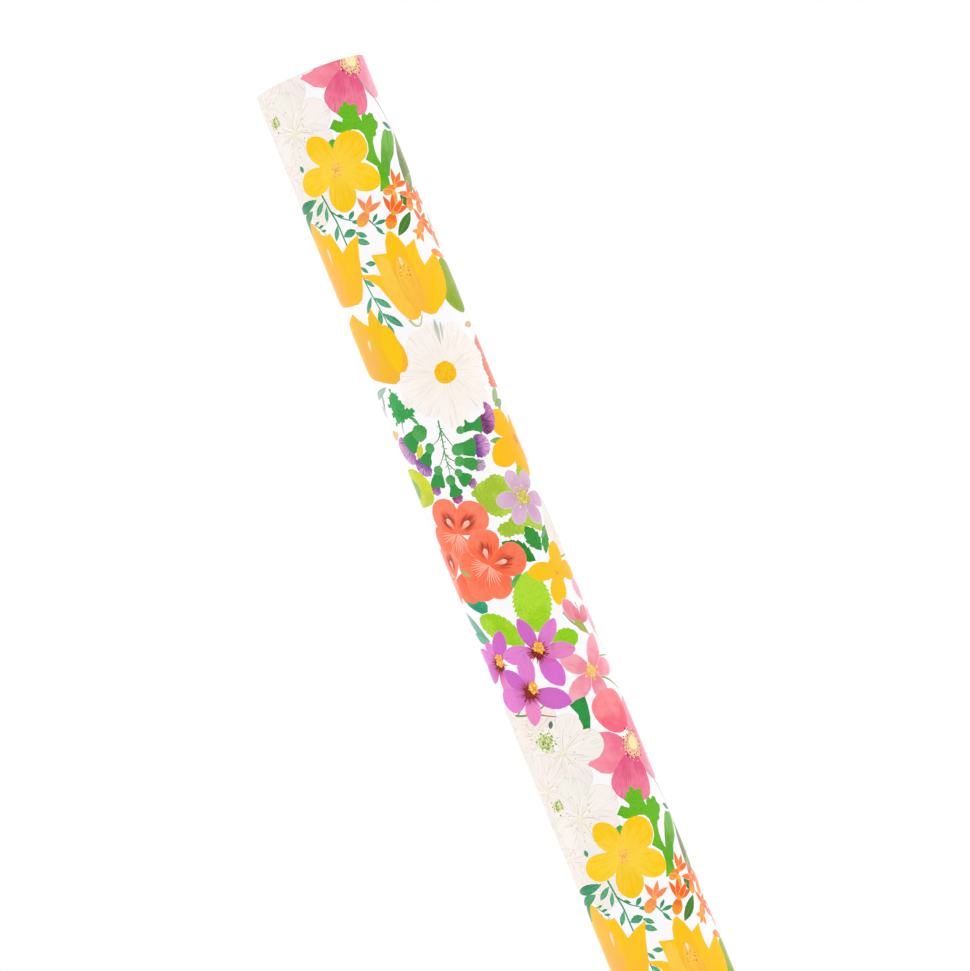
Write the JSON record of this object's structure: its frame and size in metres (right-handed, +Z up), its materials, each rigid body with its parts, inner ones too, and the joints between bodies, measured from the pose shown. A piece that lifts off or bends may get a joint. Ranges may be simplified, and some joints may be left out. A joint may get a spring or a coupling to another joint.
{
  "type": "wrapping paper roll",
  "caption": "Roll of floral printed gift wrapping paper wound on a spiral board core that slides out, with a free end that unrolls flat.",
  "frame": {"origin": "centre of the bottom end, on the roll's axis", "axes": "+Z up along the roll's axis, -Y towards the front, +Y towards the back, where the free edge is"},
  "size_m": [0.04, 0.04, 0.762],
  "materials": {
    "core_board": "matte grey-brown kraft board with fine fibres",
    "paper": "satin coated white paper printed with flowers on its outer face",
    "release_glue": "soft translucent release glue"
  },
  "bodies": {
    "wound_roll": {"wound_turns": "paper", "outer_turn": "paper", "tail_glue_dots": "release_glue"},
    "core": {"core_inner_ply": "core_board", "core_middle_ply": "core_board", "core_outer_ply": "core_board"},
    "free_end_1": {"free_end_1": "paper"},
    "free_end_2": {"free_end_2": "paper"},
    "free_end_3": {"free_end_3": "paper"},
    "free_end_4": {"free_end_4": "paper"},
    "free_end_5": {"free_end_5": "paper"},
    "free_end_6": {"free_end_6": "paper"},
    "free_end_7": {"free_end_7": "paper"},
    "free_end_8": {"free_end_8": "paper"},
    "free_end_9": {"free_end_9": "paper"},
    "free_end_10": {"free_end_10": "paper"}
  },
  "joints": [
    {"name": "core_slide", "type": "slide", "parent": "wound_roll", "child": "core", "axis": [0, 0, 1], "range_m": [0, 0.7]},
    {"name": "unroll_1", "type": "hinge", "parent": "wound_roll", "child": "free_end_1", "pos_m": [0.0197, 0.00347, 0.381], "axis": [0, 0, -1], "range_deg": [0, 8]},
    {"name": "unroll_2", "type": "hinge", "parent": "free_end_1", "child": "free_end_2", "pos_m": [0.01798, 0.00877, 0.381], "axis": [0, 0, -1], "range_deg": [0, 16]},
    {"name": "unroll_3", "type": "hinge", "parent": "free_end_2", "child": "free_end_3", "pos_m": [0.01486, 0.01338, 0.381], "axis": [0, 0, -1], "range_deg": [0, 16]},
    {"name": "unroll_4", "type": "hinge", "parent": "free_end_3", "child": "free_end_4", "pos_m": [0.0106, 0.01696, 0.381], "axis": [0, 0, -1], "range_deg": [0, 16]},
    {"name": "unroll_5", "type": "hinge", "parent": "free_end_4", "child": "free_end_5", "pos_m": [0.00551, 0.01923, 0.381], "axis": [0, 0, -1], "range_deg": [0, 16]},
    {"name": "unroll_6", "type": "hinge", "parent": "free_end_5", "child": "free_end_6", "pos_m": [0, 0.02, 0.381], "axis": [0, 0, -1], "range_deg": [0, 16]},
    {"name": "unroll_7", "type": "hinge", "parent": "free_end_6", "child": "free_end_7", "pos_m": [-0.00551, 0.01923, 0.381], "axis": [0, 0, -1], "range_deg": [0, 16]},
    {"name": "unroll_8", "type": "hinge", "parent": "free_end_7", "child": "free_end_8", "pos_m": [-0.0106, 0.01696, 0.381], "axis": [0, 0, -1], "range_deg": [0, 16]},
    {"name": "unroll_9", "type": "hinge", "parent": "free_end_8", "child": "free_end_9", "pos_m": [-0.01486, 0.01338, 0.381], "axis": [0, 0, -1], "range_deg": [0, 16]},
    {"name": "unroll_10", "type": "hinge", "parent": "free_end_9", "child": "free_end_10", "pos_m": [-0.01798, 0.00877, 0.381], "axis": [0, 0, -1], "range_deg": [0, 16]}
  ],
  "couplings": [
    {"joint": "unroll_2", "follows": "unroll_1", "ratio": 2},
    {"joint": "unroll_3", "follows": "unroll_1", "ratio": 2},
    {"joint": "unroll_4", "follows": "unroll_1", "ratio": 2},
    {"joint": "unroll_5", "follows": "unroll_1", "ratio": 2},
    {"joint": "unroll_6", "follows": "unroll_1", "ratio": 2},
    {"joint": "unroll_7", "follows": "unroll_1", "ratio": 2},
    {"joint": "unroll_8", "follows": "unroll_1", "ratio": 2},
    {"joint": "unroll_9", "follows": "unroll_1", "ratio": 2},
    {"joint": "unroll_10", "follows": "unroll_1", "ratio": 2}
  ]
}
